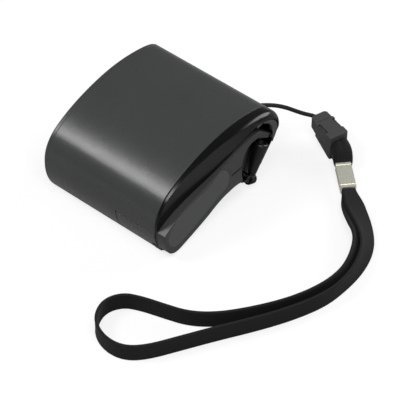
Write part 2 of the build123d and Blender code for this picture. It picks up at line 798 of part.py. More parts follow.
def low_side(x_top):
    """The wedge above the band's sloping face, which falls towards the tail."""
    with BuildSketch(Plane.XY.offset(-1)) as wedge:
        with BuildLine():
            Polyline(
                (x_top, 22.0),
                (x_top - band_slope * (22.0 + half), -half),
                (x_top - band_slope * (24.0 + half), -half - 2),
                (x_top + 8, -half - 2),
                (x_top + 8, 22.0),
                close=True,
            )
        make_face()
    return wedge.sketch


with BuildSketch() as arm_outline:
    with BuildLine():
        Spline(
            (19.4, 24.4),
            (13.5, 25.2),
            (7.5, 24.5),
            (-3.8, 21.4),
            (-16.1, 18.6),
            (-27.0, 14.4),
            (-31.5, 11.5),
        )
        Line((-31.5, 11.5), (-31.5, -0.9))
        Spline((-31.5, -0.9), (-27.0, 0.2), (-22.5, 1.3), (-7.9, 5.4), (2.7, 8.3), (10.1, 7.9))
        Spline((10.1, 7.9), (9.4, 12.2), (10.0, 18.0), (12.0, 21.2), (14.6, 22.5))
        Polyline((14.6, 22.5), (18.0, 22.4), (23.4, 18.6), (24.7, 19.8), (19.4, 24.4))
    make_face()
    add(outer_outline.sketch_local, mode=Mode.INTERSECT)

with BuildSketch() as inlay_outline:
    with BuildLine():
        Spline(
            (-4.2, 20.3),
            (0.2, 20.5),
            (2.6, 17.4),
            (3.0, 14.1),
            (1.8, 11.6),
            (-0.5, 10.5),
            (-10.0, 7.4),
            (-21.1, 3.9),
            (-25.0, 3.7),
            (-28.1, 6.7),
            (-28.5, 10.4),
            (-26.6, 13.5),
            (-15.8, 17.7),
            periodic=True,
        )
    make_face()

with BuildSketch() as rim_outline:
    add(moved_outline(outer_outline.sketch_local, -edge_round))
    with BuildLine():
        Polyline(
            (14.5, 40.0),
            (17.4, 27.2),
            (19.9, 28.0),
            (23.3, 25.6),
            (24.9, 22.8),
            (25.3, 19.9),
            (25.2, 15.4),
            (40.0, 15.4),
            (40.0, 40.0),
            (14.5, 40.0),
        )
    make_face(mode=Mode.INTERSECT)
rim_shape = redrawn(rim_outline.sketch_local)

arm_seat = moved_outline(arm_outline.sketch_local, arm_gap)
inlay_shape = moved_outline(inlay_outline.sketch_local, -arm_gap)

with BuildSketch() as pocket_outline:
    with BuildLine():
        Spline((24.9, 19.5), (24.9, 22.8), (23.3, 25.6), (19.9, 28.0), (15.5, 28.2), (9.0, 26.3), (3.5, 23.4))
        Polyline((3.5, 23.4), (8.0, 22.0), (18.0, 22.0), (24.9, 19.5))
    make_face()

with BuildSketch() as cradle_outline:
    with BuildLine():
        Polyline(
            (9.0, 7.0),
            (9.0, 18.0),
            (14.0, 22.6),
            (19.0, 22.6),
            (25.0, 18.0),
            (22.0, 12.0),
            (13.0, 7.0),
            (9.0, 7.0),
        )
    make_face()

axle_key = 2.8
rim_seat_x = rim_x - 1.2
hinge_pin_reach = 2.6
hinge_frame = Plane(origin=(knob_x, knob_foot.X, knob_foot.Y), x_dir=(1, 0, 0), z_dir=hinge_way)
screw_top = crank_floor_x + 1.4

with BuildPart() as crank_arm:
    with BuildSketch(side_plane(crank_base_x)):
        add(outer_outline.sketch_local)
    extrude(amount=rim_x - crank_base_x)
    fillet(tail_corner(crank_arm), tail_round)
    outer_edge = crank_arm.faces().sort_by(Axis.X)[-1].edges().sort_by(SortBy.LENGTH)[-1]
    fillet(outer_edge, edge_round)
    extrude(low_side(rim_x), amount=body_height + 2, mode=Mode.SUBTRACT)
    # the nose's lower corner slopes away beside the knob
    with Locations(Plane(origin=(rim_x, 22.0, 13.0), z_dir=(59.0, 23.7, -19.75)).location):
        Box(60, 60, 20, align=stand_on, mode=Mode.SUBTRACT)
    # seat of the arm plate
    with BuildSketch(side_plane(crank_floor_x)):
        add(arm_seat)
    extrude(amount=10, mode=Mode.SUBTRACT)
    # crescent pocket between the arm plate and the nose rim
    with BuildSketch(side_plane(crank_floor_x + 0.6)):
        add(pocket_outline.sketch_local)
    extrude(amount=10, mode=Mode.SUBTRACT)
    # seat of the nose rim
    with BuildSketch(side_plane(rim_seat_x)):
        add(rim_shape)
    extrude(amount=10, mode=Mode.SUBTRACT)
    # cradle beside the knob, and the window that the knob folds into
    with BuildSketch(side_plane(crank_floor_x + 1.2)):
        add(cradle_outline.sketch_local)
    extrude(amount=10, mode=Mode.SUBTRACT)
    with Locations(knob_frame.location):
        with Locations((0, 0, grip_start - 0.2)):
            Cone(
                knob_end_radius + 2.2,
                knob_top_radius + 2.2,
                knob_length - grip_start + knob_room + 0.2,
                align=stand_on,
                mode=Mode.SUBTRACT,
            )
    with BuildSketch(knob_side(crank_base_x)):
        with BuildLine():
            Polyline(
                (-window_half, -12.0),
                (-window_half, grip_start - 0.1),
                (-knob_end_radius - knob_room - 0.2, grip_start - 0.1),
                (-knob_top_radius - knob_room, knob_length - 1.0),
                (-knob_top_radius + 0.8, knob_length + knob_room),
                (knob_top_radius - 0.8, knob_length + knob_room),
                (knob_top_radius + knob_room, knob_length - 1.0),
                (knob_end_radius + knob_room + 0.2, grip_start - 0.1),
                (12.0, grip_start - 0.1),
                (12.0, -12.0),
                (-window_half, -12.0),
            )
        make_face()
    extrude(amount=10, mode=Mode.SUBTRACT)
    # bore of the knob's hinge pin in the ear beside the window
    with Locations(hinge_frame.location):
        with Locations((0, 0, -window_half - hinge_pin_reach)):
            Cylinder(
                knob_pin_radius,
                hinge_pin_reach,
                align=stand_on,
                mode=Mode.SUBTRACT,
            )
    # key hole of the axle
    box_between(
        (crank_base_x - 1, axle_at.X - axle_key / 2, axle_at.Y - axle_key / 2),
        (rim_x, axle_at.X + axle_key / 2, axle_at.Y + axle_key / 2),
        mode=Mode.SUBTRACT,
    )
crank_arm.part.label = "crank_arm"
export_step(crank_arm.part, "parts/crank_arm.step")

with BuildPart() as arm_plate:
    with BuildSketch(side_plane(crank_floor_x)):
        add(arm_outline.sketch_local)
    extrude(amount=arm_face_x - crank_floor_x)
    fillet(tail_corner(arm_plate), tail_round)
    with BuildSketch(side_plane(arm_face_x - inlay_depth)):
        add(inlay_outline.sketch_local)
    extrude(amount=inlay_depth, mode=Mode.SUBTRACT)
    # the thumb slot beside the knob
    box_between((arm_face_x - 1.2, 4.0, 14.4), (arm_face_x + 1, 12.0, 15.4), mode=Mode.SUBTRACT)
    box_between(
        (crank_floor_x - 1, axle_at.X - axle_key / 2, axle_at.Y - axle_key / 2),
        (crank_floor_x + 1.0, axle_at.X + axle_key / 2, axle_at.Y + axle_key / 2),
        mode=Mode.SUBTRACT,
    )
    rod(axle_at, screw_radius + fit_gap, crank_floor_x, arm_face_x, mode=Mode.SUBTRACT)
    rod(axle_at, screw_head_radius + fit_gap, screw_top, arm_face_x, mode=Mode.SUBTRACT)
arm_plate.part.label = "arm_plate"
export_step(arm_plate.part, "parts/arm_plate.step")

with BuildPart() as arm_inlay:
    with BuildSketch(side_plane(arm_face_x - inlay_depth)):
        add(inlay_shape)
    extrude(amount=inlay_depth)
arm_inlay.part.label = "arm_inlay"
export_step(arm_inlay.part, "parts/arm_inlay.step")

with BuildPart() as nose_rim:
    with BuildSketch(side_plane(rim_seat_x)):
        add(rim_shape)
    extrude(amount=rim_x - rim_seat_x)
    extrude(low_side(rim_x), amount=body_height + 2, mode=Mode.SUBTRACT)
nose_rim.part.label = "nose_rim"
export_step(nose_rim.part, "parts/nose_rim.step")

with BuildPart() as crank_axle:
    rod(axle_at, axle_radius, plate_inner_x - 0.4, crank_base_x)
    box_between(
        (crank_base_x, axle_at.X - axle_key / 2, axle_at.Y - axle_key / 2),
        (crank_floor_x + 1.0, axle_at.X + axle_key / 2, axle_at.Y + axle_key / 2),
    )
    rod(axle_at, screw_radius, crank_base_x - 4, rim_x, mode=Mode.SUBTRACT)
crank_axle.part.label = "crank_axle"
export_step(crank_axle.part, "parts/crank_axle.step")

with BuildPart() as crank_screw:
    screw(axle_at, screw_top, crank_base_x - 4, 1)
crank_screw.part.label = "crank_screw"
export_step(crank_screw.part, "parts/crank_screw.step")

# ---------------------------------------------------------------- folding knob
with BuildPart() as knob_carrier:
    with Locations(hinge_frame.location):
        Cylinder(collar_radius, collar_length)
        for k in range(14):
            with Locations(Rotation(0, 0, k * 360 / 14)):
                with Locations((collar_radius, 0, 0)):
                    Cylinder(0.12, collar_length, mode=Mode.SUBTRACT)
        Cylinder(knob_pin_radius + slide_gap, collar_length, mode=Mode.SUBTRACT)
    with Locations(knob_frame.location):
        with Locations((0, 0, collar_radius - 0.3)):
            Cylinder(
                knob_post_radius + 0.6,
                grip_start - collar_radius + 0.2,
                align=stand_on,
            )
        with Locations((0, 0, collar_radius - 0.3)):
            Cylinder(
                knob_post_radius,
                knob_length - 1.6 - collar_radius + 0.3,
                align=stand_on,
            )
knob_carrier.part.label = "knob_carrier"
export_step(knob_carrier.part, "parts/knob_carrier.step")

with BuildPart() as knob_grip:
    with Locations(knob_frame.location):
        with Locations((0, 0, grip_start)):
            Cone(
                knob_end_radius,
                knob_top_radius,
                knob_length - grip_start,
                align=stand_on,
            )
    top_edge = knob_grip.edges().filter_by(GeomType.CIRCLE).sort_by(SortBy.RADIUS)[-1]
    fillet(top_edge, 0.9)
    with Locations(knob_frame.location):
        with Locations((0, 0, grip_start - 1)):
            Cylinder(
                knob_post_radius + slide_gap,
                knob_length,
                align=stand_on,
                mode=Mode.SUBTRACT,
            )
        with Locations((0, 0, knob_length - 1.6)):
            Cylinder(1.4, 3, align=stand_on, mode=Mode.SUBTRACT)
knob_grip.part.label = "knob_grip"
export_step(knob_grip.part, "parts/knob_grip.step")

with BuildPart() as knob_cap:
    with Locations(knob_frame.location):
        with Locations((0, 0, knob_length - 1.6)):
            Cylinder(1.2, 0.9, align=stand_on)
        with Locations((0, 0, knob_length - 0.7)):
            Box(1.6, 0.4, 0.8, mode=Mode.SUBTRACT)
knob_cap.part.label = "knob_cap"
export_step(knob_cap.part, "parts/knob_cap.step")

with BuildPart() as knob_hinge_pin:
    with Locations(hinge_frame.location):
        with Locations((0, 0, -window_half - hinge_pin_reach)):
            Cylinder(
                knob_pin_radius,
                hinge_pin_reach + 2 * window_half,
                align=stand_on,
            )
        with Locations((0, 0, collar_length / 2 + 0.1)):
            Cylinder(1.0, 0.5, align=stand_on)
knob_hinge_pin.part.label = "knob_hinge_pin"
export_step(knob_hinge_pin.part, "parts/knob_hinge_pin.step")

# ---------------------------------------------------------------- string, buckle and wrist strap
anchor_pin_half = anchor_half + 1.2
with BuildPart() as anchor_pin:
    rod(anchor_at, anchor_pin_radius, anchor_x - anchor_pin_half, anchor_x + anchor_pin_half)
anchor_pin.part.label = "anchor_pin"
export_step(anchor_pin.part, "parts/anchor_pin.step")

string_points = [
    Vector(anchor_x, 29.1, 21.8),
    Vector(17.2, 33.0, 21.3),
    Vector(18.9, 37.0, 19.3),
    Vector(20.4, 40.9, 16.4),
    Vector(21.6, 44.3, 13.2),
    Vector(23.4, 47.6, 10.4),
    Vector(25.4, 50.2, 8.9),
]


def cord_line(points, name):
    """A cord's centre line: straight runs with a round at each bend."""
    radii = turn_radii(points)
    print(name, "bend radii", [round(radius, 1) for radius in radii])
    with BuildLine() as route:
        FilletPolyline(*points, radius=radii)
    print(name, "length", round(sum(edge.length for edge in route.line.edges()), 1))
    return route.line


string_line = cord_line(string_points, "string")
with BuildPart() as string_cord:
    with BuildSketch(Plane(string_points[0], z_dir=string_points[1] - string_points[0])):
        Circle(string_diameter / 2)
    sweep(path=string_line)
string_cord.part.label = "string_cord"
export_step(string_cord.part, "parts/string_cord.step")
print("string volume", round(string_cord.part.volume, 1))

buckle_heading = -17.5
buckle_at = Vector(32.6, 49.4, 0)
plug_length = 3.6
buckle_frame = Plane(buckle_at).rotated((0, 0, buckle_heading))
prong_z = 7.2


def under_buckle():
    """The wedge under the buckle, which is thinner at the string's end."""
    side_view = Plane(buckle_frame.origin, x_dir=buckle_frame.x_dir, z_dir=-buckle_frame.y_dir)
    with BuildSketch(side_view) as wedge:
        with BuildLine():
            Polyline(
                (-buckle_length / 2 - 1, -1),
                (-buckle_length / 2 - 1, buckle_height - buckle_nose_height + 0.5),
                (buckle_length / 2 - 1, 0),
                (buckle_length / 2 - 1, -1),
                close=True,
            )
        make_face()
    return wedge.sketch


with BuildPart() as buckle_plug:
    with Locations(buckle_frame.location):
        with Locations((-buckle_length / 2, 0, 0)):
            Box(
                plug_length,
                buckle_width - 0.9,
                buckle_height,
                align=(Align.MIN, Align.CENTER, Align.MIN),
            )
    ends = buckle_plug.edges().filter_by(Axis.Z)
    chamfer(ends.sort_by(Axis.X)[:2], 0.8)
    chamfer(buckle_plug.faces().sort_by(Axis.Z)[-1].edges(), 0.3)
    extrude(under_buckle(), amount=buckle_width, both=True, mode=Mode.SUBTRACT)
    # two prongs that snap into the socket
    with Locations(buckle_frame.location):
        for side in (-1, 1):
            with Locations((plug_length - buckle_length / 2, side * 2.2, prong_z)):
                Box(4.5, 1.0, 2.4, align=(Align.MIN, Align.CENTER, Align.CENTER))
buckle_plug.part.label = "buckle_plug"
export_step(buckle_plug.part, "parts/buckle_plug.step")

socket_start = plug_length - buckle_length / 2
with BuildPart() as buckle_socket:
    with Locations(buckle_frame.location):
        with Locations((socket_start, 0, 0)):
            Box(
                buckle_length - plug_length,
                buckle_width,
                buckle_height,
                align=(Align.MIN, Align.CENTER, Align.MIN),
            )
    fillet(buckle_socket.edges().filter_by(Axis.Z), 0.5)
    chamfer(buckle_socket.faces().sort_by(Axis.Z)[-1].edges(), 0.3)
    extrude(under_buckle(), amount=buckle_width, both=True, mode=Mode.SUBTRACT)
    with Locations(buckle_frame.location):
        # mouth for the prongs, and the two release slots in the top
        with Locations((socket_start, 0, prong_z)):
            Box(5.2, 5.8, 2.8, align=(Align.MIN, Align.CENTER, Align.CENTER), mode=Mode.SUBTRACT)
        for side, slot_length, slot_width in ((1, 5.0, 1.6), (-1, 5.0, 1.0)):
            with Locations((socket_start + 1.4, side * (buckle_width / 2 - 0.6), buckle_height)):
                Box(
                    slot_length,
                    slot_width,
                    2.0,
                    align=(Align.MIN, Align.CENTER, Align.CENTER),
                    mode=Mode.SUBTRACT,
                )
buckle_socket.part.label = "buckle_socket"
export_step(buckle_socket.part, "parts/buckle_socket.step")

crimp_heading = -43.0
crimp_at = Vector(44.75, 42.2, 2.7)
crimp_frame = Plane(crimp_at).rotated((0, 0, crimp_heading))
webbing_start = buckle_frame.from_local_coords(Vector(buckle_length / 2, 0, webbing_width / 2))
buckle_way = Vector(cos(radians(buckle_heading)), sin(radians(buckle_heading)), 0)
crimp_way = Vector(cos(radians(crimp_heading)), sin(radians(crimp_heading)), 0)
webbing_middle = (webbing_start + crimp_at) / 2 + Vector(0.3, 0.3, 0.4)

with BuildPart() as webbing_loop:
    with BuildSketch(Plane(webbing_start, x_dir=(0, 0, 1), z_dir=buckle_way)):
        RectangleRounded(webbing_width - 0.2, buckle_width - 0.6, 1.2)
    with BuildSketch(Plane(webbing_middle, x_dir=(0, 0, 1), z_dir=buckle_way + crimp_way)):
        RectangleRounded(webbing_width - 2.4, buckle_width - 0.8, 1.2)
    with BuildSketch(Plane(crimp_at, x_dir=(0, 0, 1), z_dir=crimp_way)):
        RectangleRounded(crimp_thickness - 0.8, crimp_width - 0.8, 0.8)
    loft()
webbing_loop.part.label = "webbing_loop"
export_step(webbing_loop.part, "parts/webbing_loop.step")

with BuildPart() as strap_crimp:
    with Locations(crimp_frame.location):
        Box(crimp_length, crimp_width, crimp_thickness, align=(Align.MIN, Align.CENTER, Align.CENTER))
    fillet(strap_crimp.edges().filter_by(Axis.Z), 0.4)
    with Locations(crimp_frame.location):
        for x in (1.2, crimp_length - 1.2):
            for side in (-1, 1):
                with Locations((x, 0, side * crimp_thickness / 2)):
                    Box(0.5, crimp_width + 1, 0.3, mode=Mode.SUBTRACT)
strap_crimp.part.label = "strap_crimp"
export_step(strap_crimp.part, "parts/strap_crimp.step")

strap_z = 3.6
strand_offset = 0.9
strand_start = crimp_frame.from_local_coords(Vector(crimp_length + 0.15, strand_offset, 0))
strand_end = crimp_frame.from_local_coords(Vector(crimp_length + 0.15, -strand_offset, 0))
strap_route = [
    (strand_start.X, strand_start.Y),
    (61.0, 29.8),
    (68.85, 23.6),
    (74.6, 16.2),
    (78.2, 8.5),
    (79.5, 0.4),
    (79.0, -10.5),
    (74.6, -22.7),
    (68.4, -34.1),
    (61.7, -44.8),
    (55.4, -55.6),
    (49.6, -65.6),
    (44.4, -70.6),
    (38.1, -71.8),
    (31.9, -70.0),
    (27.5, -65.7),
    (25.9, -59.6),
    (28.8, -53.9),
    (34.5, -51.2),
    (42.0, -49.0),
    (49.4, -46.7),
    (55.8, -42.4),
    (62.0, -35.5),
    (69.6, -24.8),
    (74.8, -12.8),
    (76.8, -1.6),
    (75.4, 8.4),
    (71.3, 16.2),
    (65.4, 22.8),
    (59.0, 27.8),
    (strand_end.X, strand_end.Y),
]
strap_points = [Vector(x, y, strap_z) for x, y in strap_route]
strap_line = cord_line(strap_points, "strap")
with BuildPart() as wrist_strap:
    with BuildSketch(Plane(strap_points[0], x_dir=(0, 0, 1), z_dir=strap_points[1] - strap_points[0])):
        Rectangle(strap_width, strap_thickness)
    sweep(path=strap_line)
wrist_strap.part.label = "wrist_strap"
export_step(wrist_strap.part, "parts/wrist_strap.step")
print("strap volume", round(wrist_strap.part.volume, 1))
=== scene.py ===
import math

import bpy
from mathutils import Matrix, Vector


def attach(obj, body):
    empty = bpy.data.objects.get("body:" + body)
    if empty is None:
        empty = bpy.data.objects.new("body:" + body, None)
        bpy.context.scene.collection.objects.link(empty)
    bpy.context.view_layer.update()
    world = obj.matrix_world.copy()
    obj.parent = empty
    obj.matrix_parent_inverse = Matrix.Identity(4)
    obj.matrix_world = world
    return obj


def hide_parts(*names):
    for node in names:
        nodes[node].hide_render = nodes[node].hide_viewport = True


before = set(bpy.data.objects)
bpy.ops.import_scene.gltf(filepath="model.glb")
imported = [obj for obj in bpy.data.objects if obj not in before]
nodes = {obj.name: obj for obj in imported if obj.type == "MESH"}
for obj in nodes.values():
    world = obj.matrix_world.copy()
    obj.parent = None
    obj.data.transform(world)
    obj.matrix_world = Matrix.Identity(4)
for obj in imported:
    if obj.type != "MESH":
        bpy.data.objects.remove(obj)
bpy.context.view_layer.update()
MM = 0.001

# ---------------------------------------------------------------- camera
CAMERA_AT = Vector((366.4, -412.0, 546.25)) * MM
LOOKS_AT = Vector((22.05, -3.09, 2.25)) * MM
FOCAL_PIXELS = 2250
PICTURE_PIXELS = 416
SENSOR_WIDTH = 36.0

camera_data = bpy.data.cameras.new("camera")
camera_data.sensor_width = SENSOR_WIDTH
camera_data.lens = FOCAL_PIXELS / PICTURE_PIXELS * SENSOR_WIDTH
camera_data.clip_start = 0.01
camera = bpy.data.objects.new("camera", camera_data)
bpy.context.collection.objects.link(camera)
camera.location = CAMERA_AT
camera.rotation_euler = (LOOKS_AT - CAMERA_AT).to_track_quat("-Z", "Y").to_euler()
bpy.context.scene.camera = camera


# ---------------------------------------------------------------- cord routes and tubes
CURVE_STEPS = 12


def nurbs_path(name, points):
    """The smooth line of a route in millimetres, as points in metres."""
    curve = bpy.data.curves.new(name, "CURVE")
    curve.dimensions = "3D"
    curve.resolution_u = CURVE_STEPS
    spline = curve.splines.new("NURBS")
    spline.points.add(len(points) - 1)
    for spot, point in zip(spline.points, points):
        spot.co = (*(Vector(point) * MM), 1)
    spline.order_u = 3
    spline.use_endpoint_u = True
    holder = bpy.data.objects.new(name, curve)
    bpy.context.collection.objects.link(holder)
    mesh = bpy.data.meshes.new_from_object(holder)
    line = [vertex.co.copy() for vertex in mesh.vertices]
    bpy.data.objects.remove(holder)
    bpy.data.meshes.remove(mesh)
    return line


def along(line):
    """The distance from the start to each point of a line."""
    reach = [0.0]
    for before, here in zip(line, line[1:]):
        reach.append(reach[-1] + (here - before).length)
    return reach


def swept(name, line, section):
    """A mesh tube: section(distance, length) gives the ring's (side, up) points in metres there."""
    reach = along(line)
    vertices, rings = [], []
    for index, point in enumerate(line):
        ahead = line[min(index + 1, len(line) - 1)] - line[max(index - 1, 0)]
        way = ahead.normalized()
        side = way.cross(Vector((0, 0, 1))).normalized()
        up = side.cross(way)
        ring = section(reach[index], reach[-1])
        rings.append(len(ring))
        vertices += [point + side * a + up * b for a, b in ring]
    count = rings[0]
    faces, around = [], []
    for index in range(len(line) - 1):
        low = index * count
        for k in range(count):
            following = (k + 1) % count
            faces.append((low + k, low + following, low + count + following, low + count + k))
            around.append((index, k))
    faces.append(tuple(range(count))[::-1])
    faces.append(tuple((len(line) - 1) * count + k for k in range(count)))
    mesh = bpy.data.meshes.new(name)
    mesh.from_pydata([tuple(v) for v in vertices], [], faces)
    uv = mesh.uv_layers.new(name="along")
    for face_index, (index, k) in enumerate(around):
        corners = ((index, k), (index, k + 1), (index + 1, k + 1), (index + 1, k))
        for loop, (row, column) in zip(mesh.polygons[face_index].loop_indices, corners):
            uv.data[loop].uv = (reach[row] / MM, column / count)
    for polygon in mesh.polygons:
        polygon.use_smooth = True
    mesh.update()
    piece = bpy.data.objects.new(name, mesh)
    bpy.context.collection.objects.link(piece)
    return piece


STRING_ROUTE = [
    (16.2, 27.2, 20.6),
    (16.2, 27.3, 22.6),
    (16.2, 28.6, 23.3),
    (16.4, 30.4, 22.4),
    (17.2, 33.0, 21.3),
    (18.9, 37.0, 19.3),
    (20.4, 40.9, 16.4),
    (21.6, 44.3, 13.2),
    (23.4, 47.6, 10.4),
    (25.4, 50.2, 8.9),
    (26.9, 51.0, 8.2),
]
STRING_DIAMETER = 1.5 * MM
BRAID_PITCH = 1.1 * MM
BRAID_STRANDS = 4
BRAID_DEPTH = 0.07  # share of the string's radius
STRING_RING = 24  # points round the string
STRING_STEP = 0.12 * MM

string_line = nurbs_path("string_route", STRING_ROUTE)


def string_section(distance, length):
    """The ring of the braided string: its strands cross as two sets of helices."""
    ring = []
    climb = 2 * math.pi * distance / BRAID_PITCH / BRAID_STRANDS
    for k in range(STRING_RING):
        turn = 2 * math.pi * k / STRING_RING
        one_way = math.cos(BRAID_STRANDS * (turn - climb) / 2)
        other_way = math.cos(BRAID_STRANDS * (turn + climb) / 2)
        height = max(one_way ** 2, other_way ** 2)
        radius = STRING_DIAMETER / 2 * (1 - BRAID_DEPTH + BRAID_DEPTH * height)
        ring.append((radius * math.cos(turn), radius * math.sin(turn)))
    return ring


def refined(line, gap):
    """The line with points no further apart than gap, for fine detail along a cord."""
    out = [line[0]]
    for before, here in zip(line, line[1:]):
        steps = max(1, math.ceil((here - before).length / gap))
        out += [before.lerp(here, k / steps) for k in range(1, steps + 1)]
    return out


wrist_string = swept("wrist_string", refined(string_line, STRING_STEP), string_section)

STRAP_Z = 3.6
STRAP_ROUTE = [
    (53.6, 33.9),
    (60.3, 28.8),
    (68.6, 23.2),
    (74.4, 17.4),
    (78.0, 9.6),
    (79.6, 0.4),
    (79.2, -10.5),
    (74.6, -22.7),
    (68.4, -34.1),
    (61.7, -44.8),
    (55.4, -55.6),
    (49.6, -65.6),
    (44.4, -70.6),
    (38.1, -71.8),
    (31.9, -70.0),
    (27.5, -65.7),
    (25.9, -59.6),
    (28.8, -53.9),
    (34.5, -51.2),
    (42.0, -49.0),
    (49.4, -46.7),
    (55.8, -42.4),
    (62.0, -35.5),
    (69.8, -23.8),
    (74.6, -13.0),
    (76.8, -2.0),
    (76.0, 6.2),
    (73.0, 14.6),
    (69.6, 19.3),
    (65.2, 22.6),
    (59.6, 27.4),
    (53.6, 33.9),
]
STRAP_WIDTH = 7.0 * MM
STRAP_THICKNESS = 1.2 * MM
STRAP_STEP = 1.0 * MM
STRAP_EDGE = 0.55 * MM  # the height of the band's round edges
FACE_POINTS = 15
EDGE_POINTS = 6
FACE_SHARE = 0.80  # the faces' thickness in their middle, as a share of the band's
BORDER_SHARE = 0.12  # what the border adds to it
PINCH_LENGTH = 9.0 * MM
PINCHED_SHARE = 0.7
CRIMP_SINK = 0.9 * MM  # the crimp's middle lies lower than the strap's
STACK_HALF = 0.62 * MM  # the two ends lie one on the other in the crimp
SINK_LENGTH = 22.0 * MM
FLAT_LEAN = math.radians(82)  # the ends lie nearly flat, and the strap turns on edge further on
LEAN_LENGTH = 52.0 * MM

strap_line = nurbs_path("strap_route", [(x, y, STRAP_Z) for x, y in STRAP_ROUTE])


def smooth_step(share):
    """0 to 1 with level ends."""
    share = min(max(share, 0.0), 1.0)
    return share * share * (3 - 2 * share)


def band_profile(half_width, half_thick):
    """The band's outline on edge: two faces with a raised border, and round edges."""
    straight = half_width - STRAP_EDGE
    border_thick = half_thick * (FACE_SHARE + BORDER_SHARE)
    profile = []
    for side in (1, -1):
        for k in range(FACE_POINTS):
            up = side * (2 * k / (FACE_POINTS - 1) - 1)
            thick = half_thick * (FACE_SHARE + BORDER_SHARE * abs(up) ** 6)
            profile.append((side * thick, up * straight))
        for k in range(1, EDGE_POINTS):
            turn = math.pi * k / EDGE_POINTS
            round_up = straight + STRAP_EDGE * math.sin(turn)
            profile.append((side * border_thick * math.cos(turn), side * round_up))
    return profile


def strap_section(distance, length):
    """The band's ring: on edge over most of its length, turned flat, pinched and stacked at the crimp."""
    first_half = distance < length / 2
    from_crimp = min(distance, length - distance)
    widening = smooth_step(from_crimp / PINCH_LENGTH)
    half_width = STRAP_WIDTH / 2 * (PINCHED_SHARE + (1 - PINCHED_SHARE) * widening)
    sunk = 1 - smooth_step(from_crimp / SINK_LENGTH)
    stack = STACK_HALF if first_half else -STACK_HALF
    rise = (stack - CRIMP_SINK) * sunk
    lean = FLAT_LEAN * (1 - smooth_step(from_crimp / LEAN_LENGTH))
    if not first_half:
        lean = -lean
    ring = []
    for across, up in band_profile(half_width, STRAP_THICKNESS / 2):
        turned_across = across * math.cos(lean) + up * math.sin(lean)
        turned_up = up * math.cos(lean) - across * math.sin(lean)
        ring.append((turned_across, turned_up + rise))
    return ring


wrist_strap = swept("wrist_strap_band", refined(strap_line, STRAP_STEP), strap_section)

# ---------------------------------------------------------------- webbing loop
BUCKLE_HEADING = math.radians(-17.5)
BUCKLE_AT = Vector((32.6, 49.4, 0)) * MM
BUCKLE_LENGTH = 13.0 * MM
CRIMP_HEADING = math.radians(-43.0)
CRIMP_AT = Vector((44.75, 42.2, 2.7)) * MM
WEBBING_INSIDE = 0.3 * MM  # how far it goes on into the buckle and the crimp
WEBBING_MIDDLE = Vector((0, 0, 4.0)) * MM

buckle_way = Vector((math.cos(BUCKLE_HEADING), math.sin(BUCKLE_HEADING), 0))
crimp_way = Vector((math.cos(CRIMP_HEADING), math.sin(CRIMP_HEADING), 0))
webbing_start = BUCKLE_AT + buckle_way * (BUCKLE_LENGTH / 2 - WEBBING_INSIDE) + WEBBING_MIDDLE
webbing_end = CRIMP_AT + crimp_way * WEBBING_INSIDE
WEBBING_STEPS = 40
WEBBING_BOW = 1.4 * MM
DROP_STARTS = 0.35


def webbing_drop(share):
    """0 where the fold is as high as the buckle, up to this share of its length, and 1 at the crimp."""
    return smooth_step((share - DROP_STARTS) / (1 - DROP_STARTS))


webbing_line = []
for k in range(WEBBING_STEPS + 1):
    share = k / WEBBING_STEPS
    bow = (buckle_way - crimp_way) * (WEBBING_BOW * math.sin(math.pi * share))
    spot = webbing_start.lerp(webbing_end, share) + bow
    spot.z = webbing_start.z + (webbing_end.z - webbing_start.z) * webbing_drop(share)
    webbing_line.append(spot)


WEBBING_HALF = 3.45 * MM
WEBBING_NARROWS = 0.75 * MM
FOLD_HALF = 3.9 * MM
CRIMPED_HALF = 1.35 * MM
WEBBING_RING = 48
CORNER_POWER = 3.5  # 2 is an ellipse, and more is squarer
GROOVE_DEPTH = 0.07
GROOVE_WIDTH = 0.10


def webbing_section(distance, length):
    """Two layers of webbing folded together, high at the buckle and flat at the crimp."""
    share = distance / length
    drop = webbing_drop(share)
    half_high = FOLD_HALF * (1 - drop) + CRIMPED_HALF * drop
    half_wide = WEBBING_HALF - WEBBING_NARROWS * share ** 8
    ring = []
    for k in range(WEBBING_RING):
        turn = 2 * math.pi * k / WEBBING_RING
        a, b = math.cos(turn), math.sin(turn)
        reach = (abs(a) ** CORNER_POWER + abs(b) ** CORNER_POWER) ** (-1 / CORNER_POWER)
        # a shallow groove where the two layers meet
        groove = 1 - GROOVE_DEPTH * math.exp(-((a * reach) / GROOVE_WIDTH) ** 2)
        ring.append((half_wide * a * reach, half_high * b * reach * groove))
    return ring


webbing = swept("webbing_fold", webbing_line, webbing_section)


# ---------------------------------------------------------------- materials
def material(name):
    """A new material with its Principled shader, node tree and link function."""
    made = bpy.data.materials.new(name)
    made.use_nodes = True
    tree = made.node_tree
    shader = tree.nodes["Principled BSDF"]
    return made, tree, shader


def noise(tree, coordinates, scale, detail=3.0):
    """A noise texture on the given coordinates."""
    texture = tree.nodes.new("ShaderNodeTexNoise")
    texture.inputs["Scale"].default_value = scale
    texture.inputs["Detail"].default_value = detail
    tree.links.new(coordinates, texture.inputs["Vector"])
    return texture.outputs["Fac"]


SHARP_ENDS = (0.3, 0.7)  # the part of a noise's range that is used: clear contrast
SOFT_ENDS = (0.05, 0.95)  # all of it, with no flat patches


def spread(tree, value, low, high, ends=SHARP_ENDS):
    """The value's used range mapped to low to high."""
    mapper = tree.nodes.new("ShaderNodeMapRange")
    mapper.inputs["From Min"].default_value = ends[0]
    mapper.inputs["From Max"].default_value = ends[1]
    mapper.inputs["To Min"].default_value = low
    mapper.inputs["To Max"].default_value = high
    tree.links.new(value, mapper.inputs["Value"])
    return mapper.outputs["Result"]


